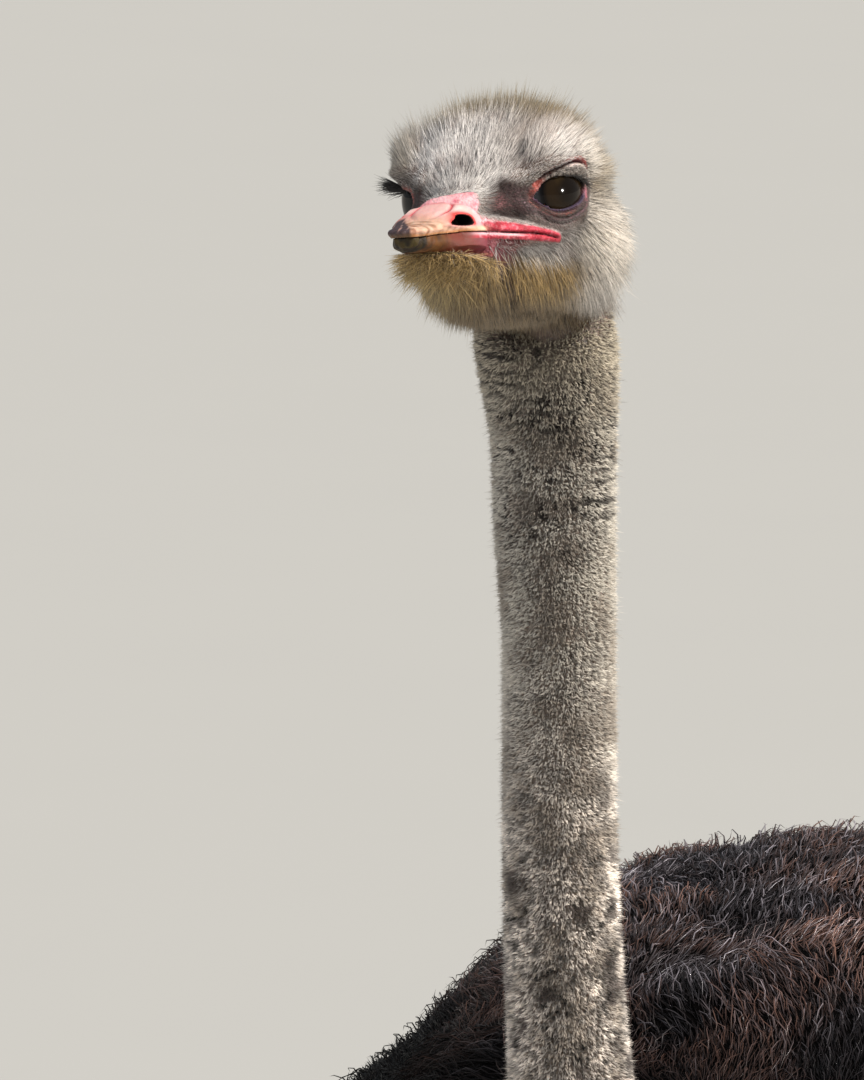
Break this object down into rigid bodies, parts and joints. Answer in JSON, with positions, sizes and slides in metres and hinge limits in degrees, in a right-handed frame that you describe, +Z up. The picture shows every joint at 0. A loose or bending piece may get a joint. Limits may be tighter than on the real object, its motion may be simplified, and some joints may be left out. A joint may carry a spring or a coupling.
{
  "type": "ostrich",
  "caption": "Life-size standing male ostrich, a still museum-style model: fuzzy neck and head, pink bill, shaggy black body plumes, white wing and tail plumes, bare legs.",
  "frame": {"origin": "on the floor, under the middle of the bird's box", "axes": "+Z up; the bird faces -Y and its left side is +X"},
  "size_m": [0.614, 1.5606, 1.7887],
  "materials": {
    "down": "short fuzzy down in grey, white and brown",
    "plume": "soft shaggy black-brown plumes with a slight gloss",
    "white_plume": "soft off-white plumes",
    "horn": "worn horn, pink to olive-brown, satin",
    "eye": "wet dark brown, glossy",
    "skin": "bare wrinkled pinkish-grey skin",
    "scale": "small matt scales, reddish scutes in front",
    "claw": "dark horn, worn satin"
  },
  "bodies": {
    "root": {"head": "down", "neck_upper": "down", "neck_middle": "down", "neck_lower": "down", "bill_upper": "horn", "bill_lower": "horn", "eye_left": "eye", "eye_right": "eye", "trunk": "plume", "wing_left": "plume", "wing_right": "plume", "tail": "white_plume", "thigh_left": "skin", "thigh_right": "skin", "shank_left": "skin", "shank_right": "skin", "ankle_left": "scale", "ankle_right": "scale", "tarsus_left": "scale", "tarsus_right": "scale", "toe_inner_left": "scale", "toe_inner_right": "scale", "toe_outer_left": "scale", "toe_outer_right": "scale", "claw_left": "claw", "claw_right": "claw"}
  },
  "joints": []
}
